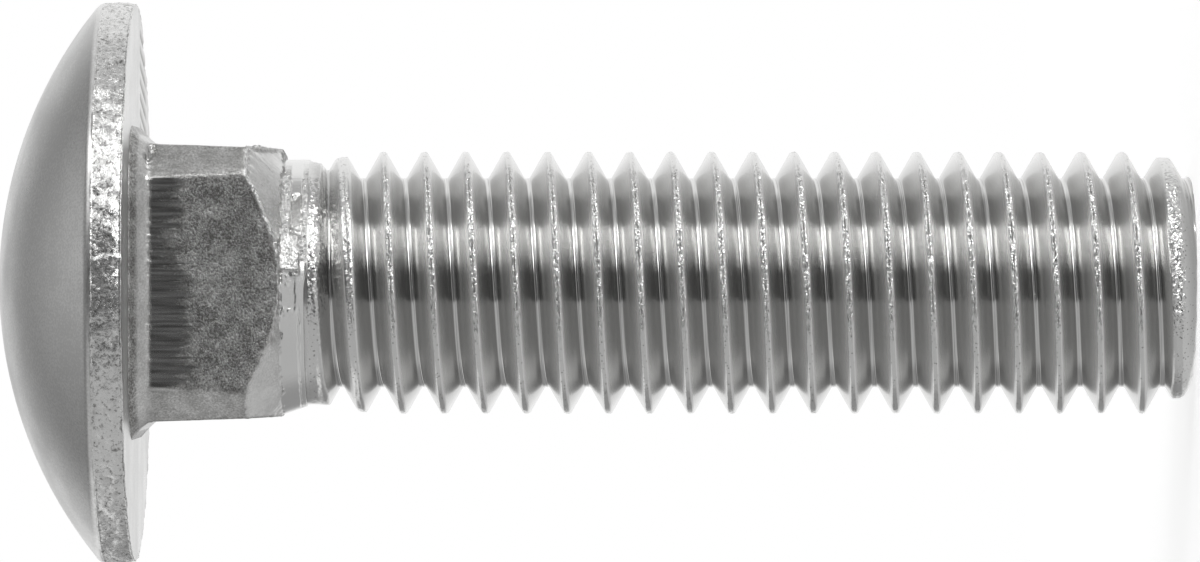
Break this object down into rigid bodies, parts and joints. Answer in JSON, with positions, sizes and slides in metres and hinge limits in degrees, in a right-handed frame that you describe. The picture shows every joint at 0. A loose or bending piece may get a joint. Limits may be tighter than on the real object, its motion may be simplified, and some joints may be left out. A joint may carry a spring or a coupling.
{
  "type": "carriage bolt",
  "caption": "Round-head square-neck bolt: low domed head, square neck that stops it turning in wood or sheet, and a fully threaded shank with a bevelled point.",
  "frame": {"origin": "centre of the flat end face of the thread, on which the bolt stands", "axes": "+Z along the bolt's axis, up from the end face to the top of the domed head; X and Y are square to the flats of the neck"},
  "size_m": [0.0266, 0.0266, 0.0567],
  "materials": {
    "steel": "satin, as cold formed, with rough forged skin on the rim and the neck and bright worn crests"
  },
  "bodies": {
    "root": {"carriage_bolt": "steel"}
  },
  "joints": []
}
